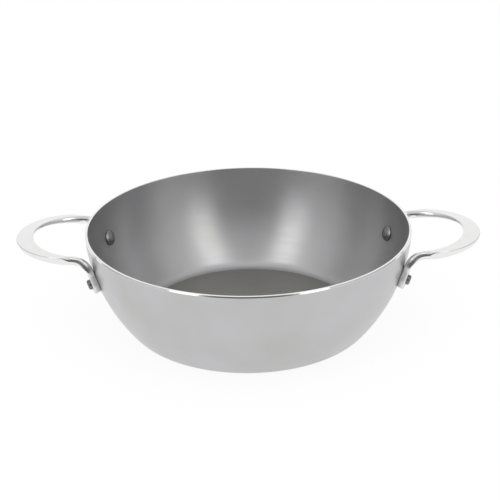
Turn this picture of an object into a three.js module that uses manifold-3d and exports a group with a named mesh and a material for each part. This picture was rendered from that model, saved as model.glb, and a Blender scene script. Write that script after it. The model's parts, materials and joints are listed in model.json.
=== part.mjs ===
// Two-handled carbon steel pan: a deep-drawn bowl with flared walls, two cast loop handles and four solid rivets.
// Millimetres, +Z up. The origin is the centre of the base, on the surface that the pan stands on.
// The handles point along X, and the front of the pan faces -Y.
import * as THREE from "three";
import { mergeVertices } from "three/addons/utils/BufferGeometryUtils.js";
import Module from "manifold-3d";

const wasm = await Module();
wasm.setup();

// Driving dimensions of the bowl
const RIM_RADIUS = 140; // outside edge of the rim
const PAN_HEIGHT = 89.4; // underside of the base to the top of the rim
const SHEET = 2.5; // thickness of the steel sheet
const CORNER_RADIUS = 15; // outside bend between base and wall
const WALL_RADIUS = 146.4; // outside bow of the wall, seen in section
const RIM_BAND = 6; // straight stretch of wall under the rim
const RIM_ANGLE = THREE.MathUtils.degToRad(84.3); // lean of that stretch from the horizontal
const LIP_OUTER_ROUND = 1.2; // rounded outside edge of the rim
const LIP_INNER_ROUND = 0.5; // rounded inside edge of the rim

// Driving dimensions of the handles
const HANDLE_REACH = 59.2; // rim to the far edge of the grip
const HANDLE_DROP = 7.6; // top of the rim down to the top of the legs
const LOOP_DEPTH = 43.7; // end of the legs to the middle of the grip
const LOOP_HALF_SPAN = 44; // middle of the pan to the middle of a leg
const GRIP_WIDTH = 14.6;
const GRIP_THICKNESS = 2.8;
const GRIP_RISE = 2; // top of the legs up to the top of the grip
const GRIP_TILT = THREE.MathUtils.degToRad(8); // slope of the grip down to its far edge
const LEG_WIDTH = 6.4;
const LEG_THICKNESS = 7;
const FOOT_RADIUS = 7.6; // half the width of the foot, at its rivet
const FOOT_LENGTH = 9.2; // rivet down to the rounded end of the foot
const FOOT_THICKNESS = 5.8;
const FOOT_RISE = 8; // rivet up to where the foot starts to bend outwards
const FOOT_NECK_WIDTH = 8; // width of the foot at that bend
const BEND_PULL = 9; // how far the bend keeps on up the wall before it turns
const LEG_PULL = 9; // how far the leg runs straight before it turns down
const LEG_EDGE_ROUND = 2.4; // rounded edges of the feet and legs
const GRIP_EDGE_ROUND = 1.2; // rounded edges of the grip

// Driving dimensions of the rivets
const RIVET_HEIGHT = 59.2; // rivet centre above the base, on the outside of the wall
const RIVET_ANGLE = THREE.MathUtils.degToRad(19.6); // rivet to the middle of its handle, round the pan
const SHANK_RADIUS = 3;
const INNER_HEAD_RADIUS = 7;
const INNER_HEAD_HEIGHT = 3.8;
const INNER_HEAD_EDGE = 0.7; // upright edge of the domed head
const OUTER_HEAD_RADIUS = 4.3;
const OUTER_HEAD_HEIGHT = 2.9;
const OUTER_HEAD_ROUND = 1.1;

// Clearances
const SEAT_GAP = 0.3; // between faces that rest on each other
const SHANK_GAP = 0.3; // between a shank and its hole, all round
const FOOT_SINK = 0.3; // how far the foot's blank lies in the wall before it is cut to the wall's bow
const CUT_RUN = 6; // how far a hole's cutter runs past the faces that it pierces

// Fineness of the round stretches
const BOWL_SEGMENTS = 72;
const RIVET_SEGMENTS = 20;
const CORNER_STEPS = 5;
const WALL_STEPS = 10;
const ROUND_STEPS = 3;
const EDGE_STEPS = 4;
const FOOT_STEPS = 5;
const NECK_STEPS = 3;
const BEND_STEPS = 9;
const LOOP_STEPS = 13;

const CARBON_STEEL = { color: 0xaaabad, roughness: 0.42, metalness: 1 };
const STAINLESS = { color: 0xdededd, roughness: 0.14, metalness: 1 };
const RIVET_STEEL = { color: 0x8f8f8f, roughness: 0.35, metalness: 1 };

// Section of the wall: the angle where the corner bend hands over to the wall's bow, and both centres.
const BEND_ANGLE = Math.acos(
  (PAN_HEIGHT - CORNER_RADIUS + WALL_RADIUS * Math.cos(RIM_ANGLE) - RIM_BAND * Math.sin(RIM_ANGLE)) /
    (WALL_RADIUS - CORNER_RADIUS),
);
const BASE_RADIUS =
  RIM_RADIUS -
  RIM_BAND * Math.cos(RIM_ANGLE) -
  WALL_RADIUS * (Math.sin(RIM_ANGLE) - Math.sin(BEND_ANGLE)) -
  CORNER_RADIUS * Math.sin(BEND_ANGLE);
const CORNER_CENTRE = new THREE.Vector2(BASE_RADIUS, CORNER_RADIUS);
const WALL_CENTRE = new THREE.Vector2(
  BASE_RADIUS - (WALL_RADIUS - CORNER_RADIUS) * Math.sin(BEND_ANGLE),
  CORNER_RADIUS + (WALL_RADIUS - CORNER_RADIUS) * Math.cos(BEND_ANGLE),
);

// Where a rivet meets the outside of the wall, and the lean of the wall there.
const RIVET_LEAN = Math.acos((WALL_CENTRE.y - RIVET_HEIGHT) / WALL_RADIUS);
const RIVET_RADIUS = WALL_CENTRE.x + WALL_RADIUS * Math.sin(RIVET_LEAN);

// Middle of the loop's bow: the grip's middle lies LOOP_DEPTH beyond it, and the legs start level with it.
const LOOP_CENTRE = RIM_RADIUS + HANDLE_REACH - GRIP_WIDTH / 2 - LOOP_DEPTH;

// Points of an arc about centre, from one angle to another, measured from straight down.
function arcPoints(centre, radius, from, to, steps) {
  return Array.from({ length: steps + 1 }, (_, i) => {
    const angle = from + ((to - from) * i) / steps;
    return new THREE.Vector2(centre.x + radius * Math.sin(angle), centre.y - radius * Math.cos(angle));
  });
}

// The wall's line from the base to the rim, moved inwards by inset, and cut off at the rim's height.
function wallLine(inset) {
  const corner = arcPoints(CORNER_CENTRE, CORNER_RADIUS - inset, 0, BEND_ANGLE, CORNER_STEPS);
  const wall = arcPoints(WALL_CENTRE, WALL_RADIUS - inset, BEND_ANGLE, RIM_ANGLE, WALL_STEPS).slice(1);
  const last = wall[wall.length - 1];
  const rise = PAN_HEIGHT - last.y;
  const rim = new THREE.Vector2(last.x + rise / Math.tan(RIM_ANGLE), PAN_HEIGHT);
  return [...corner, ...wall, rim];
}

// A rounded corner between two straight sides, as points of the arc that touches both.
function roundedCorner(before, corner, after, radius, steps) {
  const back = before.clone().sub(corner).normalize();
  const ahead = after.clone().sub(corner).normalize();
  const half = Math.acos(back.dot(ahead)) / 2;
  const reach = radius / Math.tan(half);
  const centre = corner.clone().addScaledVector(back.clone().add(ahead).normalize(), radius / Math.sin(half));
  const first = corner.clone().addScaledVector(back, reach).sub(centre);
  const turn = Math.PI - 2 * half;
  const sense = Math.sign(back.cross(ahead)) || 1;
  return Array.from({ length: steps + 1 }, (_, i) =>
    first.clone().rotateAround(new THREE.Vector2(), (-sense * turn * i) / steps).add(centre),
  );
}

// A closed profile (radius, height) turned about Z.
function turned(points, segments) {
  return new THREE.LatheGeometry(points, segments).rotateX(Math.PI / 2);
}

// A geometry as a solid that can be cut.
function solidOf(geometry) {
  const bare = geometry.clone();
  bare.deleteAttribute("normal");
  bare.deleteAttribute("uv");
  const merged = mergeVertices(bare, 1e-4);
  const kept = [];
  for (let i = 0; i < merged.index.count; i += 3) {
    const corners = [0, 1, 2].map((k) => merged.index.getX(i + k));
    if (new Set(corners).size === corners.length) kept.push(...corners);
  }
  return new wasm.Manifold(
    new wasm.Mesh({
      numProp: 3,
      vertProperties: merged.getAttribute("position").array,
      triVerts: new Uint32Array(kept),
    }),
  );
}

// A cut solid back as a geometry.
function geometryOf(solid) {
  const mesh = solid.getMesh();
  const geometry = new THREE.BufferGeometry();
  geometry.setAttribute("position", new THREE.BufferAttribute(mesh.vertProperties, 3));
  geometry.setIndex(new THREE.BufferAttribute(mesh.triVerts, 1));
  geometry.computeVertexNormals();
  return geometry;
}

function piece(name, geometry, finish) {
  const mesh = new THREE.Mesh(geometry, new THREE.MeshStandardMaterial(finish));
  mesh.name = name;
  return mesh;
}

// A group that stands on the wall at a rivet: its +Z runs out along the rivet, and its -X up the wall.
function rivetStation(azimuth) {
  const seat = new THREE.Group();
  seat.position.set(RIVET_RADIUS, 0, RIVET_HEIGHT);
  seat.rotation.y = Math.PI - RIVET_LEAN;
  const station = new THREE.Group();
  station.rotation.z = azimuth;
  station.add(seat);
  station.updateMatrixWorld(true);
  return { station, seat };
}

// The cutter for a rivet's hole through the wall and the foot.
function rivetHole(azimuth) {
  const length = SHEET + FOOT_THICKNESS + 2 * CUT_RUN;
  const bore = new THREE.CylinderGeometry(SHANK_RADIUS + SHANK_GAP, SHANK_RADIUS + SHANK_GAP, length, RIVET_SEGMENTS);
  bore.rotateX(Math.PI / 2);
  bore.translate(0, 0, length / 2 - SHEET - CUT_RUN);
  return solidOf(bore.applyMatrix4(rivetStation(azimuth).seat.matrixWorld));
}

// Places of the four rivets round the pan: two on each handle.
const RIVETS = [
  { name: "rivet_right_front", azimuth: -RIVET_ANGLE },
  { name: "rivet_right_back", azimuth: RIVET_ANGLE },
  { name: "rivet_left_front", azimuth: Math.PI + RIVET_ANGLE },
  { name: "rivet_left_back", azimuth: Math.PI - RIVET_ANGLE },
];

// The bowl: one drawn sheet, pierced for the rivets.
function panBody() {
  const outside = wallLine(0);
  const inside = wallLine(SHEET).reverse();
  const outerRim = outside.pop();
  const innerRim = inside.shift();
  const profile = [
    new THREE.Vector2(0, 0),
    ...outside,
    ...roundedCorner(outside[outside.length - 1], outerRim, innerRim, LIP_OUTER_ROUND, ROUND_STEPS),
    ...roundedCorner(outerRim, innerRim, inside[0], LIP_INNER_ROUND, ROUND_STEPS),
    ...inside,
    new THREE.Vector2(0, SHEET),
  ];
  const bowl = RIVETS.reduce(
    (solid, rivet) => solid.subtract(rivetHole(rivet.azimuth)),
    solidOf(turned(profile, BOWL_SEGMENTS)),
  );
  return piece("pan_body", geometryOf(bowl), CARBON_STEEL);
}

// The bowl's outside with the seat gap all round, which cuts the feet to the wall's bow.
function wallCutter() {
  const profile = [new THREE.Vector2(0, -SEAT_GAP), ...wallLine(-SEAT_GAP), new THREE.Vector2(0, PAN_HEIGHT)];
  return solidOf(turned(profile, BOWL_SEGMENTS));
}

// Cross-section of the strap, as offsets across (x) and through (y), with rounded edges.
function strapSection(width, thickness, edge) {
  const round = Math.min(edge, width / 2.2, thickness / 2.2);
  const corners = [
    [1, 1],
    [-1, 1],
    [-1, -1],
    [1, -1],
  ];
  return corners.flatMap(([sx, sy], quarter) =>
    Array.from({ length: EDGE_STEPS }, (_, i) => {
      const angle = (quarter + i / (EDGE_STEPS - 1)) * (Math.PI / 2);
      return new THREE.Vector2(
        sx * (width / 2 - round) + round * Math.cos(angle),
        sy * (thickness / 2 - round) + round * Math.sin(angle),
      );
    }),
  );
}

// Half of a handle, from the lower end of a foot to the last step before the middle of the grip.
// A station is the strap's middle point, the way its width points, its width, its thickness and its edge round.
// side is 1 for the half at +Y and -1 for the half at -Y.
function handleHalf(side) {
  const { lerp, smoothstep } = THREE.MathUtils;
  const around = new THREE.Vector3(Math.cos(RIVET_ANGLE), side * Math.sin(RIVET_ANGLE), 0);
  const up = around.clone().multiplyScalar(Math.cos(RIVET_LEAN)).setZ(Math.sin(RIVET_LEAN));
  const out = around.clone().multiplyScalar(Math.sin(RIVET_LEAN)).setZ(-Math.cos(RIVET_LEAN));
  const seat = around.clone().multiplyScalar(RIVET_RADIUS).setZ(RIVET_HEIGHT);
  const foot = seat.addScaledVector(out, FOOT_THICKNESS / 2 - FOOT_SINK);
  const footAcross = new THREE.Vector3(-Math.sin(RIVET_ANGLE), side * Math.cos(RIVET_ANGLE), 0);
  const legAcross = new THREE.Vector3(0, side, 0);
  const stations = [];

  for (let i = 0; i <= FOOT_STEPS; i++) {
    const angle = (Math.PI / 2) * ((i + 0.5) / (FOOT_STEPS + 0.5));
    stations.push({
      point: foot.clone().addScaledVector(up, -FOOT_LENGTH * Math.cos(angle)),
      across: footAcross,
      width: 2 * FOOT_RADIUS * Math.sin(angle),
      thickness: FOOT_THICKNESS,
      edge: LEG_EDGE_ROUND,
    });
  }
  for (let i = 1; i < NECK_STEPS; i++) {
    const share = i / NECK_STEPS;
    stations.push({
      point: foot.clone().addScaledVector(up, FOOT_RISE * share),
      across: footAcross,
      width: lerp(2 * FOOT_RADIUS, FOOT_NECK_WIDTH, smoothstep(share, 0, 1)),
      thickness: FOOT_THICKNESS,
      edge: LEG_EDGE_ROUND,
    });
  }

  const legTop = PAN_HEIGHT - HANDLE_DROP;
  const neck = foot.clone().addScaledVector(up, FOOT_RISE);
  const legEnd = new THREE.Vector3(LOOP_CENTRE, side * LOOP_HALF_SPAN, legTop - LEG_THICKNESS / 2);
  const bend = new THREE.CubicBezierCurve3(
    neck,
    neck.clone().addScaledVector(up, BEND_PULL),
    legEnd.clone().add(new THREE.Vector3(-LEG_PULL, 0, 0)),
    legEnd,
  );
  for (let i = 0; i < BEND_STEPS; i++) {
    const share = i / BEND_STEPS;
    const eased = smoothstep(share, 0, 1);
    stations.push({
      point: bend.getPoint(share),
      across: footAcross.clone().lerp(legAcross, eased),
      width: lerp(FOOT_NECK_WIDTH, LEG_WIDTH, eased),
      thickness: lerp(FOOT_THICKNESS, LEG_THICKNESS, eased),
      edge: LEG_EDGE_ROUND,
    });
  }
  for (let i = 0; i < LOOP_STEPS; i++) {
    stations.push(loopStation(side * (Math.PI / 2) * (1 - i / LOOP_STEPS)));
  }
  return stations;
}

// A station of the loop, at an angle from the middle of the grip.
function loopStation(angle) {
  const share = Math.cos(angle);
  const thickness = THREE.MathUtils.lerp(LEG_THICKNESS, GRIP_THICKNESS, share);
  const normal = new THREE.Vector3(share / LOOP_DEPTH, Math.sin(angle) / LOOP_HALF_SPAN, 0).normalize();
  return {
    point: new THREE.Vector3(
      LOOP_CENTRE + LOOP_DEPTH * share,
      LOOP_HALF_SPAN * Math.sin(angle),
      PAN_HEIGHT - HANDLE_DROP + GRIP_RISE * share - thickness / 2,
    ),
    across: normal.setZ(-Math.tan(GRIP_TILT * share)),
    width: THREE.MathUtils.lerp(LEG_WIDTH, GRIP_WIDTH, share),
    thickness,
    edge: THREE.MathUtils.lerp(LEG_EDGE_ROUND, GRIP_EDGE_ROUND, share),
  };
}

// The whole strap of a handle, swept through its stations.
function strapGeometry() {
  const stations = [...handleHalf(1), loopStation(0), ...handleHalf(-1).reverse()];
  const positions = [];
  stations.forEach(({ point, across, width, thickness, edge }, i) => {
    const before = stations[Math.max(i - 1, 0)].point;
    const after = stations[Math.min(i + 1, stations.length - 1)].point;
    const along = after.clone().sub(before).normalize();
    const square = across.clone().addScaledVector(along, -across.dot(along)).normalize();
    const through = along.clone().cross(square);
    for (const offset of strapSection(width, thickness, edge)) {
      const corner = point.clone().addScaledVector(square, offset.x).addScaledVector(through, offset.y);
      positions.push(corner.x, corner.y, corner.z);
    }
  });
  const ring = positions.length / 3 / stations.length;
  const faces = [];
  for (let s = 0; s < stations.length - 1; s++) {
    for (let k = 0; k < ring; k++) {
      const a = s * ring + k;
      const b = s * ring + ((k + 1) % ring);
      faces.push(a, b, a + ring, b, b + ring, a + ring);
    }
  }
  const end = (stations.length - 1) * ring;
  for (let k = 1; k < ring - 1; k++) {
    faces.push(0, k + 1, k, end, end + k, end + k + 1);
  }
  const geometry = new THREE.BufferGeometry();
  geometry.setAttribute("position", new THREE.BufferAttribute(new Float32Array(positions), 3));
  geometry.setIndex(faces);
  return geometry;
}

// A handle on the +X side: the strap, cut to the wall and pierced for its two rivets.
function handleGeometry() {
  const strap = solidOf(strapGeometry())
    .subtract(wallCutter())
    .subtract(rivetHole(RIVET_ANGLE))
    .subtract(rivetHole(-RIVET_ANGLE));
  return geometryOf(strap);
}

// A rivet along its own +Z, with 0 at the outside of the wall: a domed head inside, a shank and an upset head outside.
function rivetGeometry() {
  const bow = INNER_HEAD_RADIUS ** 2 / (2 * (RIVET_RADIUS - SHEET)); // how far the hollow wall rises at the head's edge
  const innerFace = -(SHEET + SEAT_GAP + bow);
  const outerFace = FOOT_THICKNESS - FOOT_SINK + SEAT_GAP;
  const innerTop = innerFace - INNER_HEAD_HEIGHT;
  const outerTop = outerFace + OUTER_HEAD_HEIGHT;
  const domeRise = INNER_HEAD_HEIGHT - INNER_HEAD_EDGE;
  const domeRadius = (INNER_HEAD_RADIUS ** 2 + domeRise ** 2) / (2 * domeRise);
  const dome = arcPoints(
    new THREE.Vector2(0, innerTop + domeRadius),
    domeRadius,
    0,
    Math.asin(INNER_HEAD_RADIUS / domeRadius),
    CORNER_STEPS,
  );
  const outerEdge = new THREE.Vector2(OUTER_HEAD_RADIUS, outerTop);
  const profile = [
    ...dome,
    new THREE.Vector2(INNER_HEAD_RADIUS, innerFace),
    new THREE.Vector2(SHANK_RADIUS, innerFace),
    new THREE.Vector2(SHANK_RADIUS, outerFace),
    new THREE.Vector2(OUTER_HEAD_RADIUS, outerFace),
    ...roundedCorner(
      new THREE.Vector2(OUTER_HEAD_RADIUS, outerFace),
      outerEdge,
      new THREE.Vector2(0, outerTop),
      OUTER_HEAD_ROUND,
      ROUND_STEPS,
    ),
    new THREE.Vector2(0, outerTop),
  ];
  return turned(profile, RIVET_SEGMENTS);
}

function assemble() {
  const pan = new THREE.Group();
  pan.add(panBody());
  const handle = handleGeometry();
  for (const { name, azimuth } of [
    { name: "handle_right", azimuth: 0 },
    { name: "handle_left", azimuth: Math.PI },
  ]) {
    const side = new THREE.Group();
    side.rotation.z = azimuth;
    side.add(piece(name, handle, STAINLESS));
    pan.add(side);
  }
  const rivet = rivetGeometry();
  for (const { name, azimuth } of RIVETS) {
    const { station, seat } = rivetStation(azimuth);
    seat.add(piece(name, rivet, RIVET_STEEL));
    pan.add(station);
  }
  return pan;
}

export default assemble();
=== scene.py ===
"""Two-handled carbon steel pan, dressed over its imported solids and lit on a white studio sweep."""

from __future__ import annotations

import json
import logging
import math
from dataclasses import dataclass, field
from enum import Enum
from typing import Any, Iterable, Sequence

import bpy
import numpy as np
from mathutils import Matrix, Vector

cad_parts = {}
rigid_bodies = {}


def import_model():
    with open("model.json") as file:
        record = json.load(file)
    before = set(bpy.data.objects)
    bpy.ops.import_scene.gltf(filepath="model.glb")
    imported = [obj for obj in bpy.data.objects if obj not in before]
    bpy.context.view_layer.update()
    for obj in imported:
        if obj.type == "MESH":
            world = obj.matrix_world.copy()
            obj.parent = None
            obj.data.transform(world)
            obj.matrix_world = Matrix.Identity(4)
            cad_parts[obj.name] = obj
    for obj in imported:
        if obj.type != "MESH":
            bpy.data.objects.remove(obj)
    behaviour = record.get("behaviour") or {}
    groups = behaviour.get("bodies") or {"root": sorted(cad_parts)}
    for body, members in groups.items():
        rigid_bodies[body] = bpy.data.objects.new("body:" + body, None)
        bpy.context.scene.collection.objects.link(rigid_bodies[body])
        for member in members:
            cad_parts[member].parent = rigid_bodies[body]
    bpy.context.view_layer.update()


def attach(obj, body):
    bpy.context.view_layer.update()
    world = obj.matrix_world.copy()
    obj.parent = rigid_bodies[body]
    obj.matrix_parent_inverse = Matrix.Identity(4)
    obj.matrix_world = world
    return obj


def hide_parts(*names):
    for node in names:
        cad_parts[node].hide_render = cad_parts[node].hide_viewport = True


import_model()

LOG = logging.getLogger("carbon_steel_pan")
MM = 0.001
BODY = "root"
HALF_TURN = 180.0
WHITE = "FFFFFF"
HORIZONTAL = (1.0, 1.0, 0.0)

# Blender numbers the sockets of a colour mix, because several of them share a name.
MIX_SHARE = 0
MIX_FIRST = 6
MIX_SECOND = 7
MIX_RESULT = 2

Point = tuple[float, float]


class Side(Enum):
    """Which handle a piece belongs to, with its turn about Z."""

    RIGHT = 0.0
    LEFT = math.pi


class End(Enum):
    """Which leg of a handle a rivet holds, with the sign of Y on the right-hand handle."""

    NEAR_MINUS_Y = -1
    NEAR_PLUS_Y = 1


class BowlFace(Enum):
    """Which finish a ring of the bowl has, with its material slot."""

    WALL = 0
    LIP = 1
    FLOOR = 2


class RivetHead(Enum):
    """Which finish a ring of a rivet has, with its material slot."""

    INNER = 0
    OUTER = 1


def linear(hex_colour: str) -> tuple[float, float, float, float]:
    """Turns an sRGB hex colour into linear RGBA.

    Args:
        hex_colour: Six hex digits, with or without a leading hash.

    Returns:
        Linear red, green, blue and an alpha of 1.
    """
    digits = hex_colour.lstrip("#")
    channels = [int(digits[i : i + 2], 16) / 255 for i in (0, 2, 4)]
    red, green, blue = (
        c / 12.92 if c <= 0.04045 else ((c + 0.055) / 1.055) ** 2.4 for c in channels
    )
    return red, green, blue, 1.0


def add_node(
    tree: bpy.types.NodeTree,
    kind: str,
    settings: dict[str | int, Any] | None = None,
    links: dict[str | int, bpy.types.NodeSocket] | None = None,
) -> bpy.types.Node:
    """Adds a node with its settings and its incoming links.

    Args:
        tree: The node tree that gets the node.
        kind: Blender's name for the node type.
        settings: Values by input name or number, or by the name of one of the node's properties.
        links: Output sockets by the name or number of the input that they feed.

    Returns:
        The new node.
    """
    node = tree.nodes.new(kind)
    for key, value in (settings or {}).items():
        if isinstance(key, int) or key in node.inputs:
            node.inputs[key].default_value = value
        else:
            setattr(node, key, value)
    for key, socket in (links or {}).items():
        tree.links.new(socket, node.inputs[key])
    return node


def empty_material(name: str) -> tuple[bpy.types.Material, bpy.types.NodeTree]:
    """Makes a material with an empty node tree.

    Args:
        name: The material's name.

    Returns:
        The material and its tree.
    """
    material = bpy.data.materials.new(name)
    material.use_nodes = True
    material.node_tree.nodes.clear()
    return material, material.node_tree


@dataclass(frozen=True)
class SpunCarbonSteel:
    """Carbon steel sheet, sanded while it spins, so its fine lines run round the pan.

    The lines pull every highlight out along the wall, up and down, and leave a cool satin grey.
    """

    name: str
    tint: str
    worn_tint: str
    roughness: float
    anisotropy: float
    line_mm: float = 1.6  # real sanding lines are near 0.1 mm: drawn coarser, so that they show
    line_arc: float = 2.5
    line_depth_mm: float = 0.004
    line_gloss: float = 0.03
    line_range: Point = (0.3, 0.7)
    line_detail: float = 3.0
    line_fineness: float = 0.6
    cloud_mm: float = 46.0
    cloud_range: Point = (0.35, 0.7)
    cloud_detail: float = 2.0
    cloud_fineness: float = 0.5
    grain_turn: float = 0.25  # a quarter turn lays the highlights across the lines

    def build(self) -> bpy.types.Material:
        """Makes the material with its sanding lines and its faint clouds of colour.

        Returns:
            The material.
        """
        material, tree = empty_material(self.name)
        place = add_node(tree, "ShaderNodeTexCoord").outputs["Object"]
        xyz = add_node(tree, "ShaderNodeSeparateXYZ", links={0: place})
        flat = add_node(
            tree,
            "ShaderNodeVectorMath",
            {"operation": "MULTIPLY", 1: HORIZONTAL},
            {0: place},
        ).outputs[0]
        radius = add_node(tree, "ShaderNodeVectorMath", {"operation": "LENGTH"}, {0: flat})
        heading = add_node(tree, "ShaderNodeVectorMath", {"operation": "NORMALIZE"}, {0: flat})
        arc = add_node(
            tree,
            "ShaderNodeVectorMath",
            {"operation": "SCALE", "Scale": self.line_arc},
            {0: heading.outputs[0]},
        )
        run = add_node(
            tree,
            "ShaderNodeMath",
            {"operation": "ADD"},
            {0: radius.outputs["Value"], 1: xyz.outputs["Z"]},
        )
        rings = add_node(
            tree,
            "ShaderNodeMath",
            {"operation": "DIVIDE", 1: self.line_mm * MM},
            {0: run.outputs[0]},
        )
        ring_vector = add_node(tree, "ShaderNodeCombineXYZ", links={"Z": rings.outputs[0]})
        line_place = add_node(
            tree,
            "ShaderNodeVectorMath",
            {"operation": "ADD"},
            {0: arc.outputs[0], 1: ring_vector.outputs[0]},
        )
        lines = add_node(
            tree,
            "ShaderNodeTexNoise",
            {"Scale": 1.0, "Detail": self.line_detail, "Roughness": self.line_fineness},
            {"Vector": line_place.outputs[0]},
        )
        clouds = add_node(
            tree,
            "ShaderNodeTexNoise",
            {
                "Scale": 1.0 / (self.cloud_mm * MM),
                "Detail": self.cloud_detail,
                "Roughness": self.cloud_fineness,
            },
            {"Vector": place},
        )
        blend = add_node(
            tree,
            "ShaderNodeMapRange",
            {"From Min": self.cloud_range[0], "From Max": self.cloud_range[1]},
            {"Value": clouds.outputs["Fac"]},
        )
        colour = add_node(
            tree,
            "ShaderNodeMix",
            {"data_type": "RGBA", MIX_FIRST: linear(self.tint), MIX_SECOND: linear(self.worn_tint)},
            {MIX_SHARE: blend.outputs[0]},
        )
        gloss = add_node(
            tree,
            "ShaderNodeMapRange",
            {
                "From Min": self.line_range[0],
                "From Max": self.line_range[1],
                "To Min": self.roughness - self.line_gloss,
                "To Max": self.roughness + self.line_gloss,
            },
            {"Value": lines.outputs["Fac"]},
        )
        bump = add_node(
            tree,
            "ShaderNodeBump",
            {"Strength": 1.0, "Distance": self.line_depth_mm * MM},
            {"Height": lines.outputs["Fac"]},
        )
        grain = add_node(tree, "ShaderNodeTangent", {"direction_type": "RADIAL", "axis": "Z"})
        steel = add_node(
            tree,
            "ShaderNodeBsdfPrincipled",
            {
                "Metallic": 1.0,
                "Anisotropic": self.anisotropy,
                "Anisotropic Rotation": self.grain_turn,
            },
            {
                "Base Color": colour.outputs[MIX_RESULT],
                "Roughness": gloss.outputs[0],
                "Normal": bump.outputs[0],
                "Tangent": grain.outputs[0],
            },
        )
        add_node(tree, "ShaderNodeOutputMaterial", links={"Surface": steel.outputs[0]})
        return material


@dataclass(frozen=True)
class PolishedSteel:
    """Steel that was buffed bright: it mirrors the studio, softened by faint polishing waves.

    Under a given height the buff can't reach, and the steel keeps the soft grey of its blasted skin.
    """

    name: str
    tint: str
    dull_tint: str
    roughness: float
    wave_mm: float = 7.0
    wave_depth_mm: float = 0.01
    wave_gloss: Point = (-0.02, 0.03)
    wave_range: Point = (0.3, 0.7)
    wave_detail: float = 2.0
    wave_fineness: float = 0.4
    matt_under_mm: float = 0.0
    matt_fade_mm: float = 6.0
    matt_roughness: float = 0.55

    def build(self) -> bpy.types.Material:
        """Makes the material with its polishing waves and its slightly duller patches.

        Returns:
            The material.
        """
        material, tree = empty_material(self.name)
        place = add_node(tree, "ShaderNodeTexCoord").outputs["Object"]
        waves = add_node(
            tree,
            "ShaderNodeTexNoise",
            {
                "Scale": 1.0 / (self.wave_mm * MM),
                "Detail": self.wave_detail,
                "Roughness": self.wave_fineness,
            },
            {"Vector": place},
        )
        colour = add_node(
            tree,
            "ShaderNodeMix",
            {"data_type": "RGBA", MIX_FIRST: linear(self.tint), MIX_SECOND: linear(self.dull_tint)},
            {MIX_SHARE: waves.outputs["Fac"]},
        )
        gloss = add_node(
            tree,
            "ShaderNodeMapRange",
            {
                "From Min": self.wave_range[0],
                "From Max": self.wave_range[1],
                "To Min": self.roughness + self.wave_gloss[0],
                "To Max": self.roughness + self.wave_gloss[1],
            },
            {"Value": waves.outputs["Fac"]},
        )
        height = add_node(tree, "ShaderNodeSeparateXYZ", links={0: place}).outputs["Z"]
        matt = add_node(
            tree,
            "ShaderNodeMapRange",
            {
                "From Min": self.matt_under_mm * MM,
                "From Max": (self.matt_under_mm + self.matt_fade_mm) * MM,
                "To Min": self.matt_roughness,
                "To Max": 0.0,
            },
            {"Value": height},
        )
        softest = add_node(
            tree,
            "ShaderNodeMath",
            {"operation": "MAXIMUM"},
            {0: gloss.outputs[0], 1: matt.outputs[0]},
        )
        bump = add_node(
            tree,
            "ShaderNodeBump",
            {"Strength": 1.0, "Distance": self.wave_depth_mm * MM},
            {"Height": waves.outputs["Fac"]},
        )
        steel = add_node(
            tree,
            "ShaderNodeBsdfPrincipled",
            {"Metallic": 1.0},
            {
                "Base Color": colour.outputs[MIX_RESULT],
                "Roughness": softest.outputs[0],
                "Normal": bump.outputs[0],
            },
        )
        add_node(tree, "ShaderNodeOutputMaterial", links={"Surface": steel.outputs[0]})
        return material


def arc_points(centre: Point, radius: float, start: float, stop: float, steps: int) -> list[Point]:
    """Points of an arc, with angles measured from straight down.

    Args:
        centre: The arc's centre.
        radius: The arc's radius.
        start: First angle, in radians.
        stop: Last angle, in radians.
        steps: Number of steps between them.

    Returns:
        The points, both ends included.
    """
    angles = np.linspace(start, stop, steps + 1)
    return [(centre[0] + radius * math.sin(a), centre[1] - radius * math.cos(a)) for a in angles]


def rounded_corner(
    before: Point, corner: Point, after: Point, radius: float, steps: int
) -> list[Point]:
    """Points of the arc that rounds off a corner between two straight sides.

    Args:
        before: A point on the side that comes in.
        corner: The sharp corner.
        after: A point on the side that goes out.
        radius: Radius of the rounding.
        steps: Number of steps along the arc.

    Returns:
        The points, both ends included.
    """
    tip = np.array(corner)
    back = np.array(before) - tip
    ahead = np.array(after) - tip
    back /= np.linalg.norm(back)
    ahead /= np.linalg.norm(ahead)
    half = math.acos(float(back @ ahead)) / 2
    middle = back + ahead
    centre = tip + middle / np.linalg.norm(middle) * radius / math.sin(half)
    first = tip + back * radius / math.tan(half) - centre
    sense = -math.copysign(1.0, back[0] * ahead[1] - back[1] * ahead[0])
    points = []
    for share in np.linspace(0, 1, steps + 1):
        turn = sense * (math.pi - 2 * half) * share
        x = first[0] * math.cos(turn) - first[1] * math.sin(turn)
        y = first[0] * math.sin(turn) + first[1] * math.cos(turn)
        points.append((float(centre[0] + x), float(centre[1] + y)))
    return points


def mesh_object(
    name: str,
    points: np.ndarray,
    faces: Sequence[Sequence[int]],
    normals: np.ndarray | None = None,
) -> bpy.types.Object:
    """Makes a smooth mesh object from points in millimetres.

    Args:
        name: The object's name.
        points: One row for each point.
        faces: Point numbers of each face.
        normals: A shading normal for each point, or None for Blender's own.

    Returns:
        The object, linked to the scene.
    """
    mesh = bpy.data.meshes.new(name)
    mesh.from_pydata((points * MM).tolist(), [], faces)
    mesh.polygons.foreach_set("use_smooth", [True] * len(mesh.polygons))
    if normals is not None:
        mesh.normals_split_custom_set_from_vertices(normals.tolist())
    mesh.update()
    piece = bpy.data.objects.new(name, mesh)
    bpy.context.scene.collection.objects.link(piece)
    return piece


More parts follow.
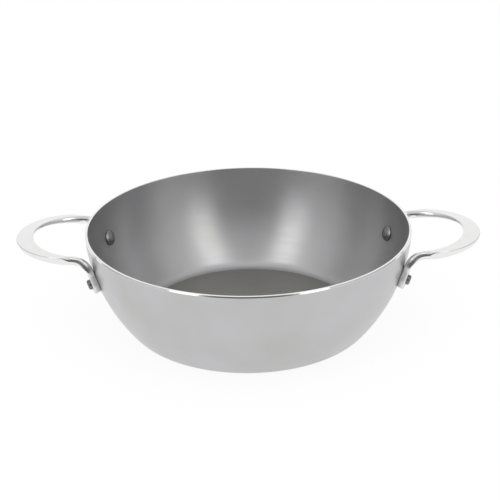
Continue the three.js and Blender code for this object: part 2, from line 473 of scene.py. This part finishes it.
def turned_object(name: str, profile: Sequence[Point], segments: int) -> bpy.types.Object:
    """Turns a profile that starts and ends on the axis about Z.

    Args:
        name: The object's name.
        profile: Radius and height of each point, in millimetres, with the solid on the left.
        segments: Steps round the axis.

    Returns:
        The object, with shading normals that follow the profile.
    """
    line = np.array(profile)
    steps = np.diff(line, axis=0)
    outward = np.stack([steps[:, 1], -steps[:, 0]], axis=1)
    sums = np.zeros_like(line)
    sums[:-1] += outward
    sums[1:] += outward
    sums[0, 0] = 0
    sums[-1, 0] = 0
    sums /= np.linalg.norm(sums, axis=1, keepdims=True)
    turns = np.arange(segments) * 2 * math.pi / segments
    ring = np.stack([np.cos(turns), np.sin(turns)], axis=1)
    points: list[np.ndarray] = [np.array([[0, 0, line[0, 1]]])]
    normals: list[np.ndarray] = [np.array([[0, 0, sums[0, 1]]])]
    for (radius, height), (out, rise) in zip(line[1:-1], sums[1:-1]):
        points.append(np.column_stack([ring * radius, np.full(segments, height)]))
        normals.append(np.column_stack([ring * out, np.full(segments, rise)]))
    points.append(np.array([[0, 0, line[-1, 1]]]))
    normals.append(np.array([[0, 0, sums[-1, 1]]]))
    last = 1 + (len(line) - 2) * segments
    faces: list[tuple[int, ...]] = []
    for k in range(segments):
        after = (k + 1) % segments
        faces.append((0, 1 + after, 1 + k))
        for row in range(len(line) - 3):
            low = 1 + row * segments
            faces.append((low + k, low + after, low + segments + after, low + segments + k))
        faces.append((last, last - segments + k, last - segments + after))
    return mesh_object(name, np.vstack(points), faces, np.vstack(normals))


@dataclass
class WallSection:
    """Section of the bowl's wall, in millimetres.

    From the middle out it has a flat base, a corner bend, a bowed wall and a straight rim.
    """

    rim_radius: float = 140.0
    height: float = 89.4
    sheet: float = 2.5
    corner_radius: float = 15.0
    wall_radius: float = 146.4
    rim_band: float = 6.0
    rim_angle: float = math.radians(84.3)
    lip_bevel_width: float = 0.7
    lip_bevel_drop: float = 1.35
    lip_round: float = 0.3
    bend_angle: float = field(init=False)
    base_radius: float = field(init=False)
    corner_centre: Point = field(init=False)
    wall_centre: Point = field(init=False)

    def __post_init__(self) -> None:
        """Works out where the corner bend hands over to the wall's bow."""
        span = self.wall_radius - self.corner_radius
        lean_x, lean_y = math.cos(self.rim_angle), math.sin(self.rim_angle)
        lift = self.wall_radius * lean_x - self.rim_band * lean_y
        self.bend_angle = math.acos((self.height - self.corner_radius + lift) / span)
        self.base_radius = (
            self.rim_radius
            - self.rim_band * lean_x
            - self.wall_radius * lean_y
            + span * math.sin(self.bend_angle)
        )
        self.corner_centre = (self.base_radius, self.corner_radius)
        self.wall_centre = (
            self.base_radius - span * math.sin(self.bend_angle),
            self.corner_radius + span * math.cos(self.bend_angle),
        )

    def line(self, inset: float, corner_steps: int = 16, wall_steps: int = 40) -> list[Point]:
        """The wall's line from the base to the rim.

        Args:
            inset: How far the line lies inside the outer face.
            corner_steps: Steps along the corner bend.
            wall_steps: Steps along the bowed wall.

        Returns:
            Points from the edge of the flat base to the level of the rim.
        """
        bend = self.bend_angle
        corner = arc_points(self.corner_centre, self.corner_radius - inset, 0, bend, corner_steps)
        wall = arc_points(
            self.wall_centre, self.wall_radius - inset, bend, self.rim_angle, wall_steps
        )
        end = wall[-1]
        rim = (end[0] + (self.height - end[1]) / math.tan(self.rim_angle), self.height)
        return [*corner, *wall[1:], rim]

    def lean_at(self, height: float) -> float:
        """Angle of the outer wall from the horizontal at a height on its bow."""
        return math.acos((self.wall_centre[1] - height) / self.wall_radius)

    def radius_at(self, height: float) -> float:
        """Radius of the outer wall at a height on its bow."""
        return self.wall_centre[0] + self.wall_radius * math.sin(self.lean_at(height))


@dataclass
class Bowl:
    """The drawn bowl: satin inside and out, with a polished lip."""

    section: WallSection
    wall: SpunCarbonSteel
    lip: PolishedSteel
    floor: SpunCarbonSteel
    segments: int = 288
    lip_steps: int = 8
    base_shares: tuple[float, ...] = (0.0, 0.25, 0.5, 0.75)

    def profile(self) -> tuple[list[Point], range]:
        """The bowl's closed profile.

        Returns:
            The points from the middle of the underside to the middle of the floor, and the
            rows of the lip.
        """
        section = self.section
        outer = section.line(0)
        inner = section.line(section.sheet)[::-1]
        outer_rim = outer.pop()
        inner_rim = inner.pop(0)
        drop = section.lip_bevel_drop
        shoulder = (outer_rim[0] - drop / math.tan(section.rim_angle), outer_rim[1] - drop)
        crest = (outer_rim[0] - section.lip_bevel_width, outer_rim[1])
        round_, steps = section.lip_round, self.lip_steps
        outer_lip = [
            *rounded_corner(outer[-1], shoulder, crest, round_, steps),
            *rounded_corner(shoulder, crest, inner_rim, round_, steps),
        ]
        inner_lip = rounded_corner(crest, inner_rim, inner[0], round_, steps)
        base = [(section.base_radius * share, 0.0) for share in self.base_shares]
        floor = [(radius, section.sheet) for radius, _ in base[::-1]]
        points = [*base, *outer, *outer_lip, *inner_lip, *inner, *floor]
        first = len(base) + len(outer)
        return points, range(first, first + len(outer_lip) + len(inner_lip) - 1)

    def build(self) -> bpy.types.Object:
        """Makes the bowl and dresses its wall, its lip and its floor.

        Returns:
            The bowl.
        """
        profile, lip_rows = self.profile()
        bowl = turned_object("bowl_of_carbon_steel", profile, self.segments)
        for finish in (self.wall, self.lip, self.floor):
            bowl.data.materials.append(finish.build())
        rows = len(profile) - 1
        floor_row = rows - len(self.base_shares)
        faces = [BowlFace.WALL] * floor_row + [BowlFace.FLOOR] * (rows - floor_row)
        for row in lip_rows:
            faces[row] = BowlFace.LIP
        slots = [face.value for face in faces]
        bowl.data.polygons.foreach_set("material_index", slots * self.segments)
        bowl.data.update()
        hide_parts("pan_body")
        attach(bowl, BODY)
        LOG.info("pan_body: %d faces", len(bowl.data.polygons))
        return bowl


@dataclass
class Station:
    """One place along a handle's strap, in millimetres."""

    point: np.ndarray
    across: np.ndarray
    width: float
    thickness: float
    inner_edge: float
    outer_edge: float
    crown: float  # how many times deeper than wide the rounds of the upper edges are


def smooth_share(share: float) -> float:
    """Eases a share from 0 to 1, level at both ends."""
    return share * share * (3 - 2 * share)


def between(start: float, stop: float, share: float) -> float:
    """The value at a share of the way from start to stop."""
    return start + (stop - start) * share


@dataclass
class LoopHandle:
    """A loop handle: a broad thin grip, two deep narrow legs, and two feet that lie on the wall."""

    section: WallSection
    finish: PolishedSteel
    rivet_height: float
    rivet_angle: float
    reach: float = 59.2
    drop: float = 7.6
    loop_depth: float = 43.7
    loop_half_span: float = 44.0
    grip_width: float = 14.6
    grip_thickness: float = 2.8
    grip_rise: float = 2.0
    grip_tilt: float = math.radians(8)
    leg_width: float = 6.4
    leg_thickness: float = 7.0
    foot_radius: float = 7.6
    foot_length: float = 9.2
    foot_thickness: float = 5.8
    foot_rise: float = 8.0
    foot_neck_width: float = 8.0
    bend_pull: float = 9.0
    leg_pull: float = 9.0
    leg_edge_round: float = 2.9
    leg_crown: float = 1.7
    twist_share: float = 0.4  # share of the bend over which the strap turns to follow the leg
    grip_inner_round: float = 1.2
    grip_outer_round: float = 0.6
    outer_round_span: Point = (0.03, 0.16)
    seat_gap: float = 0.1
    foot_sink: float = 0.3
    foot_steps: int = 14
    neck_steps: int = 8
    bend_steps: int = 30
    loop_steps: int = 48
    edge_steps: int = 8
    flat_margin: float = 0.06
    first_step: float = 0.25
    round_limit: float = 1 / 2.2

    def loop_centre(self) -> float:
        """X of the middle of the loop's bow."""
        return self.section.rim_radius + self.reach - self.grip_width / 2 - self.loop_depth

    def loop_station(self, angle: float) -> Station:
        """The station of the loop at an angle from the middle of the grip.

        Args:
            angle: Angle of the bow, in radians, 0 at the middle of the grip.

        Returns:
            The station.
        """
        share = math.cos(angle)
        thickness = between(self.leg_thickness, self.grip_thickness, share)
        height = self.section.height - self.drop + self.grip_rise * share - thickness / 2
        normal = np.array([share / self.loop_depth, math.sin(angle) / self.loop_half_span, 0.0])
        normal /= np.linalg.norm(normal)
        normal[2] = -math.tan(self.grip_tilt * share)
        x = self.loop_centre() + self.loop_depth * share
        y = self.loop_half_span * math.sin(angle)
        point = np.array([x, y, height])
        width = between(self.leg_width, self.grip_width, share)
        inner = between(self.leg_edge_round, self.grip_inner_round, share)
        start, stop = self.outer_round_span
        sharpness = smooth_share(min(max((share - start) / (stop - start), 0.0), 1.0))
        outer = between(self.leg_edge_round, self.grip_outer_round, sharpness)
        crown = between(self.leg_crown, 1.0, share)
        return Station(point, normal, width, thickness, inner, outer, crown)

    def half(self, side: int) -> list[Station]:
        """Half of the strap, from the lower end of a foot to just before the middle of the grip.

        Args:
            side: 1 for the half at +Y and -1 for the half at -Y.

        Returns:
            The half's stations.
        """
        edge, crown, thick = self.leg_edge_round, self.leg_crown, self.foot_thickness
        lean = self.section.lean_at(self.rivet_height)
        angle = self.rivet_angle
        around = np.array([math.cos(angle), side * math.sin(angle), 0.0])
        level = np.array([0.0, 0.0, 1.0])
        up = around * math.cos(lean) + level * math.sin(lean)
        out = around * math.sin(lean) - level * math.cos(lean)
        foot = around * self.section.radius_at(self.rivet_height) + level * self.rivet_height
        foot = foot + out * (thick / 2 - self.foot_sink)
        foot_across = np.array([-math.sin(angle), side * math.cos(angle), 0.0])
        leg_across = np.array([0.0, float(side), 0.0])
        stations: list[Station] = []
        for i in range(self.foot_steps + 1):
            share = (i + self.first_step) / (self.foot_steps + self.first_step)
            turn = share * math.pi / 2
            point = foot - up * self.foot_length * math.cos(turn)
            width = 2 * self.foot_radius * math.sin(turn)
            stations.append(Station(point, foot_across, width, thick, edge, edge, crown))
        for i in range(1, self.neck_steps):
            share = i / self.neck_steps
            width = between(2 * self.foot_radius, self.foot_neck_width, smooth_share(share))
            point = foot + up * self.foot_rise * share
            stations.append(Station(point, foot_across, width, thick, edge, edge, crown))
        neck = foot + up * self.foot_rise
        leg_height = self.section.height - self.drop - self.leg_thickness / 2
        leg_end = np.array([self.loop_centre(), side * self.loop_half_span, leg_height])
        leg_handle = leg_end - np.array([self.leg_pull, 0.0, 0.0])
        pulls = (neck, neck + up * self.bend_pull, leg_handle, leg_end)
        for i in range(self.bend_steps):
            share = i / self.bend_steps
            rest = 1 - share
            weights = (rest**3, 3 * rest * rest * share, 3 * rest * share * share, share**3)
            eased = smooth_share(share)
            turned = smooth_share(min(share / self.twist_share, 1.0))
            stations.append(
                Station(
                    sum(w * p for w, p in zip(weights, pulls)),
                    foot_across + (leg_across - foot_across) * turned,
                    between(self.foot_neck_width, self.leg_width, eased),
                    between(thick, self.leg_thickness, eased),
                    edge,
                    edge,
                    crown,
                )
            )
        for i in range(self.loop_steps):
            angle = side * (math.pi / 2) * (1 - i / self.loop_steps)
            stations.append(self.loop_station(angle))
        return stations

    def outline(self, station: Station) -> np.ndarray:
        """The strap's cross-section, with its own rounds on the loop's inner and outer edges.

        Args:
            station: Where the strap is cut.

        Returns:
            Offsets across and through, with a point close to each end of the flats.
        """
        limit = min(station.width, station.thickness) * self.round_limit
        inner = min(station.inner_edge, limit)
        outer = min(station.outer_edge, limit)
        arcs = []
        corners = ((1, 1, outer), (-1, 1, inner), (-1, -1, inner), (1, -1, outer))
        for quarter, (sx, sy, radius) in enumerate(corners):
            deep = radius * station.crown
            if sy < 0:
                left = station.thickness - deep
                deep = min(radius, left * (2 * self.round_limit))
            x = sx * (station.width / 2 - radius)
            y = sy * (station.thickness / 2 - deep)
            angles = (quarter + np.linspace(0, 1, self.edge_steps + 1)) * math.pi / 2
            arc = np.column_stack([radius * np.cos(angles), deep * np.sin(angles)])
            arcs.append(np.array([x, y]) + arc)
        rows = []
        for arc, following in zip(arcs, [*arcs[1:], arcs[0]]):
            margin = (following[0] - arc[-1]) * self.flat_margin
            rows += [*arc, arc[-1] + margin, following[0] - margin]
        return np.array(rows)

    def seat(self, points: np.ndarray) -> np.ndarray:
        """Moves the points of the feet that lie in the wall out to its face.

        Args:
            points: One row for each point of the strap.

        Returns:
            The points, with the feet cut to the wall's bow.
        """
        section = self.section
        seated = points.copy()
        for row in seated:
            flat = math.hypot(row[0], row[1])
            away = np.array([flat - section.wall_centre[0], row[2] - section.wall_centre[1]])
            lean = math.atan2(away[0], -away[1])
            short = section.wall_radius + self.seat_gap - float(np.hypot(*away))
            if short > 0 and lean < section.rim_angle:
                row[:2] *= (flat + short * math.sin(lean)) / flat
                row[2] -= short * math.cos(lean)
        return seated

    def build(self, side: Side) -> bpy.types.Object:
        """Makes and dresses the handle of one side.

        Args:
            side: Which handle.

        Returns:
            The handle.
        """
        stations = [*self.half(1), self.loop_station(0.0), *self.half(-1)[::-1]]
        middles = np.array([s.point for s in stations])
        along = np.gradient(middles, axis=0)
        along /= np.linalg.norm(along, axis=1, keepdims=True)
        rows = []
        for station, ahead in zip(stations, along):
            across = station.across - ahead * float(station.across @ ahead)
            across /= np.linalg.norm(across)
            through = np.cross(ahead, across)
            offsets = self.outline(station)
            rows.append(station.point + offsets[:, :1] * across + offsets[:, 1:] * through)
        ring = len(rows[0])
        points = self.seat(np.vstack(rows))
        faces: list[tuple[int, ...]] = []
        for s in range(len(rows) - 1):
            low = s * ring
            for k in range(ring):
                after = (k + 1) % ring
                faces.append((low + k, low + after, low + ring + after, low + ring + k))
        faces.append(tuple(range(ring))[::-1])
        faces.append(tuple(range((len(rows) - 1) * ring, len(rows) * ring)))
        turn = np.array(Matrix.Rotation(side.value, 3, "Z"))
        node = f"handle_{side.name.lower()}"
        handle = mesh_object(f"loop_{node}", points @ turn.T, faces)
        handle.data.materials.append(self.finish.build())
        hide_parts(node)
        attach(handle, BODY)
        LOG.info("%s: %d faces", node, len(faces))
        return handle


@dataclass
class Rivet:
    """A solid rivet: a low domed head inside, a shank and an upset button head outside."""

    section: WallSection
    inner_finish: PolishedSteel
    outer_finish: PolishedSteel
    height: float
    angle: float
    foot_thickness: float
    foot_sink: float
    shank_radius: float = 3.0
    inner_head_radius: float = 7.0
    inner_head_height: float = 3.8
    inner_head_edge: float = 0.7
    inner_head_round: float = 0.3
    inner_head_inset: float = 0.5
    outer_head_radius: float = 4.3
    outer_head_height: float = 2.9
    outer_head_round: float = 1.6
    outer_foot_round: float = 0.3
    outer_flat_share: float = 0.3
    seat_gap: float = 0.1
    dome_steps: int = 14
    round_steps: int = 8
    small_round_steps: int = 5
    segments: int = 64

    def profile(self) -> tuple[list[Point], int]:
        """The rivet's profile along its axis, with 0 at the outer face of the wall.

        Returns:
            The points from the top of the inner head to the top of the outer one, and the
            number of rows of the inner head.
        """
        section = self.section
        wall_radius = section.radius_at(self.height) - section.sheet
        bow = self.inner_head_radius**2 / (2 * wall_radius)
        inner_face = -(section.sheet + self.seat_gap + bow)
        outer_face = self.foot_thickness - self.foot_sink + self.seat_gap
        inner_top = inner_face - self.inner_head_height
        outer_top = outer_face + self.outer_head_height
        rise = self.inner_head_height - self.inner_head_edge
        dome = (self.inner_head_radius**2 + rise**2) / (2 * rise)
        sweep = math.asin((self.inner_head_radius - self.inner_head_inset) / dome)
        cap = arc_points((0, inner_top + dome), dome, 0, sweep, self.dome_steps)
        edge = (self.inner_head_radius, inner_top + rise)
        face = (self.inner_head_radius, inner_face)
        crown = (self.outer_head_radius, outer_top)
        heel = (self.outer_head_radius, outer_face)
        shank_end = (self.shank_radius, outer_face)
        small = self.small_round_steps
        inner_head = [
            *cap[:-1],
            *rounded_corner(cap[-1], edge, face, self.inner_head_round, small),
            face,
        ]
        points = [
            *inner_head,
            (self.shank_radius, inner_face),
            shank_end,
            *rounded_corner(shank_end, heel, crown, self.outer_foot_round, small),
            *rounded_corner(heel, crown, (0, outer_top), self.outer_head_round, self.round_steps),
            (self.outer_head_radius * self.outer_flat_share, outer_top),
            (0, outer_top),
        ]
        return points, len(inner_head)

    def build(self, side: Side, end: End) -> bpy.types.Object:
        """Makes and dresses the rivet of one leg of one handle.

        Args:
            side: Which handle.
            end: Which leg.

        Returns:
            The rivet.
        """
        forward = end.value < 0 if side is Side.RIGHT else end.value > 0
        name = f"rivet_{side.name.lower()}_{'front' if forward else 'back'}"
        profile, inner_rows = self.profile()
        rivet = turned_object(f"solid_{name}", profile, self.segments)
        lean = self.section.lean_at(self.height)
        place = Vector((self.section.radius_at(self.height), 0, self.height))
        seat = Matrix.Translation(place * MM)
        tip = Matrix.Rotation(math.pi - lean, 4, "Y")
        turn = Matrix.Rotation(side.value + end.value * self.angle, 4, "Z")
        rivet.data.transform(turn @ seat @ tip)
        for finish in (self.inner_finish, self.outer_finish):
            rivet.data.materials.append(finish.build())
        outer_rows = len(profile) - 1 - inner_rows
        slots = [RivetHead.INNER.value] * inner_rows + [RivetHead.OUTER.value] * outer_rows
        rivet.data.polygons.foreach_set("material_index", slots * self.segments)
        rivet.data.update()
        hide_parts(name)
        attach(rivet, BODY)
        LOG.info("%s: %d faces", name, len(rivet.data.polygons))
        return rivet


@dataclass
class Portrait:
    """The camera at the photograph's place, in millimetres."""

    place: tuple[float, float, float] = (0.0, -1043.8, 537.6)
    aim: tuple[float, float, float] = (1.2, 0.0, 65.6)
    roll: float = math.radians(-0.87)
    lens: float = 95.18
    sensor: float = 36.0

    def build(self) -> bpy.types.Object:
        """Makes the camera and hands it to the scene.

        Returns:
            The camera.
        """
        ahead = (Vector(self.aim) - Vector(self.place)).normalized()
        right = ahead.cross(Vector((0, 0, 1))).normalized()
        up = right.cross(ahead)
        rolled_right = right * math.cos(self.roll) + up * math.sin(self.roll)
        rolled_up = up * math.cos(self.roll) - right * math.sin(self.roll)
        data = bpy.data.cameras.new("portrait_camera")
        data.lens = self.lens
        data.sensor_width = self.sensor
        camera = bpy.data.objects.new("portrait_camera", data)
        turn = Matrix((rolled_right, rolled_up, -ahead)).transposed()
        camera.matrix_world = Matrix.Translation(Vector(self.place) * MM) @ turn.to_4x4()
        bpy.context.scene.collection.objects.link(camera)
        bpy.context.scene.camera = camera
        return camera


@dataclass
class Studio:
    """A white sweep with a dark end behind the camera, two tall soft boxes and a dim card.

    The steel mirrors three rings of brightness: a low one, the walls and the ceiling. Each stop
    of a ring gives an angle from the camera's side, in degrees, and a brightness. Sizes and
    places are in metres.
    """

    floor_size: float = 8.0
    floor_tint: str = WHITE
    shadow_share: float = 0.1
    low: tuple[Point, ...] = (
        (0.0, 0.12),
        (23.0, 0.16),
        (36.0, 0.5),
        (60.0, 0.62),
        (84.0, 0.58),
        (100.0, 0.5),
        (142.0, 0.52),
        (158.0, 1.0),
    )
    room: tuple[Point, ...] = (
        (0.0, 0.15),
        (21.0, 0.2),
        (33.0, 0.68),
        (62.0, 0.82),
        (84.0, 0.7),
        (100.0, 0.54),
        (142.0, 0.52),
        (158.0, 1.0),
    )
    ceiling: tuple[Point, ...] = (
        (0.0, 0.76),
        (90.0, 0.8),
        (180.0, 0.7),
    )
    low_from: float = math.radians(18)
    low_to: float = math.radians(34)
    ceiling_from: float = math.radians(46)
    ceiling_to: float = math.radians(58)
    box_distance: float = 0.95
    box_azimuth: float = math.radians(41)
    box_elevation: float = math.radians(40)
    box_size: Point = (0.32, 0.8)
    box_radiance: float = 1.08
    card_place: tuple[float, float, float] = (0.0, -0.55, 0.56)
    card_size: Point = (0.44, 0.38)
    card_radiance: float = 0.42

    def floor(self) -> bpy.types.Object:
        """Makes the floor: white to the eye and in the steel, with a share of the pan's shadow.

        Returns:
            The floor.
        """
        half = self.floor_size / 2
        corners = [(-half, -half, 0), (half, -half, 0), (half, half, 0), (-half, half, 0)]
        floor = mesh_object("studio_floor", np.array(corners) / MM, [(0, 1, 2, 3)])
        material, tree = empty_material("painted_white_studio_floor")
        path = add_node(tree, "ShaderNodeLightPath")
        seen = add_node(
            tree,
            "ShaderNodeMath",
            {"operation": "MAXIMUM"},
            {0: path.outputs["Is Camera Ray"], 1: path.outputs["Is Glossy Ray"]},
        )
        shown = add_node(
            tree,
            "ShaderNodeMath",
            {"operation": "MAXIMUM"},
            {0: seen.outputs[0], 1: path.outputs["Is Transmission Ray"]},
        )
        share = add_node(
            tree,
            "ShaderNodeMath",
            {"operation": "MULTIPLY", 1: 1 - self.shadow_share},
            {0: shown.outputs[0]},
        )
        white = linear(self.floor_tint)
        paint = add_node(tree, "ShaderNodeBsdfDiffuse", {"Color": white})
        glow = add_node(tree, "ShaderNodeEmission", {"Color": white, "Strength": 1.0})
        mix = add_node(
            tree,
            "ShaderNodeMixShader",
            links={0: share.outputs[0], 1: paint.outputs[0], 2: glow.outputs[0]},
        )
        add_node(tree, "ShaderNodeOutputMaterial", links={"Surface": mix.outputs[0]})
        floor.data.materials.append(material)
        return floor

    def levels(
        self, tree: bpy.types.NodeTree, share: bpy.types.NodeSocket, stops: Sequence[Point]
    ) -> bpy.types.NodeSocket:
        """Makes a ramp of brightness round the pan, the same to the left and to the right.

        Args:
            tree: The world's node tree.
            share: Angle from the camera's side, from 0 to 1 for 0 to 180 degrees.
            stops: Angle in degrees and brightness of each stop.

        Returns:
            The ramp's colour.
        """
        node = add_node(tree, "ShaderNodeValToRGB", links={0: share})
        ramp = node.color_ramp
        ramp.interpolation = "EASE"
        while len(ramp.elements) < len(stops):
            ramp.elements.new(1.0)
        for element, (angle, level) in zip(ramp.elements, stops):
            element.position = angle / HALF_TURN
            element.color = (level, level, level, 1.0)
        return node.outputs[0]

    def surroundings(self) -> bpy.types.World:
        """Makes the world: white to the eye, and three rings of brightness in the steel.

        Returns:
            The world.
        """
        world = bpy.data.worlds.new("studio_surroundings")
        world.use_nodes = True
        tree = world.node_tree
        tree.nodes.clear()
        heading = add_node(tree, "ShaderNodeTexCoord").outputs["Generated"]
        xyz = add_node(tree, "ShaderNodeSeparateXYZ", links={0: heading})
        math_node = "ShaderNodeMath"
        sideways = add_node(tree, math_node, {"operation": "ABSOLUTE"}, {0: xyz.outputs["X"]})
        ahead = add_node(tree, math_node, {"operation": "MULTIPLY", 1: -1.0}, {0: xyz.outputs["Y"]})
        azimuth = add_node(
            tree,
            math_node,
            {"operation": "ARCTAN2"},
            {0: sideways.outputs[0], 1: ahead.outputs[0]},
        )
        share = add_node(
            tree, math_node, {"operation": "DIVIDE", 1: math.pi}, {0: azimuth.outputs[0]}
        )
        shade = self.levels(tree, share.outputs[0], self.low)
        for stops, start, stop in (
            (self.room, self.low_from, self.low_to),
            (self.ceiling, self.ceiling_from, self.ceiling_to),
        ):
            height = add_node(
                tree,
                "ShaderNodeMapRange",
                {
                    "interpolation_type": "SMOOTHSTEP",
                    "From Min": math.sin(start),
                    "From Max": math.sin(stop),
                },
                {"Value": xyz.outputs["Z"]},
            )
            above = self.levels(tree, share.outputs[0], stops)
            shade = add_node(
                tree,
                "ShaderNodeMix",
                {"data_type": "RGBA"},
                {MIX_SHARE: height.outputs[0], MIX_FIRST: shade, MIX_SECOND: above},
            ).outputs[MIX_RESULT]
        room = add_node(tree, "ShaderNodeBackground", links={"Color": shade})
        white = add_node(tree, "ShaderNodeBackground", {"Color": linear(WHITE), "Strength": 1.0})
        path = add_node(tree, "ShaderNodeLightPath")
        mix = add_node(
            tree,
            "ShaderNodeMixShader",
            links={0: path.outputs["Is Glossy Ray"], 1: white.outputs[0], 2: room.outputs[0]},
        )
        add_node(tree, "ShaderNodeOutputWorld", links={"Surface": mix.outputs[0]})
        bpy.context.scene.world = world
        return world

    def soft_box(self, name: str, place: Vector, size: Point, radiance: float) -> bpy.types.Object:
        """Makes one soft box, which faces the pan.

        Args:
            name: The lamp's name.
            place: Where the middle of its face is, in metres.
            size: Width and height of its face, in metres.
            radiance: How bright its face is, where 1 is white.

        Returns:
            The lamp.
        """
        data = bpy.data.lights.new(name, "AREA")
        data.shape = "RECTANGLE"
        data.size, data.size_y = size
        data.energy = radiance * math.pi * data.size * data.size_y
        lamp = bpy.data.objects.new(name, data)
        lamp.location = place
        lamp.rotation_euler = place.to_track_quat("Z", "Y").to_euler()
        bpy.context.scene.collection.objects.link(lamp)
        return lamp

    def lamps(self) -> None:
        """Makes the tall soft box on each side of the camera and the dim fill card over its lens."""
        flat = math.cos(self.box_elevation) * self.box_distance
        rise = math.sin(self.box_elevation) * self.box_distance
        aside = flat * math.sin(self.box_azimuth)
        front = flat * math.cos(self.box_azimuth)
        for name, x in (("left_soft_box", -aside), ("right_soft_box", aside)):
            self.soft_box(name, Vector((x, -front, rise)), self.box_size, self.box_radiance)
        self.soft_box("fill_card", Vector(self.card_place), self.card_size, self.card_radiance)

    def build(self) -> None:
        """Sets up the floor, the surroundings, the soft boxes and the plain view."""
        self.floor()
        self.surroundings()
        self.lamps()
        bpy.context.scene.view_settings.view_transform = "Standard"


@dataclass
class TwoHandledPan:
    """The whole pan: the bowl, its handles and their rivets."""

    section: WallSection = field(default_factory=WallSection)
    rivet_height: float = 59.2
    rivet_angle: float = math.radians(19.6)

    def build(self) -> None:
        """Builds every piece in order."""
        # Sanded on the lathe: soft light grey, with highlights drawn out up and down the wall.
        wall = SpunCarbonSteel(
            name="satin_spun_carbon_steel",
            tint="C3C3C5",
            worn_tint="BDBDBC",
            roughness=0.34,
            anisotropy=0.6,
        )
        # The cut edge, buffed: a thin white line, with a dark one where it mirrors the room's front.
        lip = PolishedSteel(
            name="buffed_carbon_steel_lip",
            tint="F0F0F0",
            dull_tint="EAEAE9",
            roughness=0.09,
        )
        # Polished before it was riveted: near white, with sharp dark streaks; the feet are matt.
        bright = PolishedSteel(
            name="polished_stainless_steel",
            tint="ECECEC",
            dull_tint="E6E6E5",
            roughness=0.1,
            matt_under_mm=66.0,
        )
        # Tumbled with other rivets: a mid grey dome with a soft spot of light and a dark foot; the
        # mid grey is partly painted shade, darker than the handle's steel to deepen that foot.
        domed = PolishedSteel(
            name="tumbled_stainless_rivet_head",
            tint="949492",
            dull_tint="8A8A89",
            roughness=0.2,
        )
        # Hammered over the foot: a darker, duller grey button.
        upset = PolishedSteel(
            name="hammered_stainless_rivet_end",
            tint="7E7E7C",
            dull_tint="727271",
            roughness=0.26,
        )
        # Flat floor: a darker warm grey than the wall, which mirrors the wall behind it.
        floor = SpunCarbonSteel(
            name="darker_carbon_steel_floor",
            tint="999895",
            worn_tint="93928F",
            roughness=0.38,
            anisotropy=0.6,
        )
        Bowl(self.section, wall, lip, floor).build()
        handle = LoopHandle(self.section, bright, self.rivet_height, self.rivet_angle)
        rivet = Rivet(
            self.section,
            domed,
            upset,
            self.rivet_height,
            self.rivet_angle,
            handle.foot_thickness,
            handle.foot_sink,
        )
        for side in Side:
            handle.build(side)
            for end in End:
                rivet.build(side, end)


def main() -> None:
    """Builds the pan, the studio and the camera."""
    logging.basicConfig(level=logging.INFO, format="%(name)s: %(message)s")
    TwoHandledPan().build()
    Studio().build()
    Portrait().build()


if __name__ == "__main__":
    main()
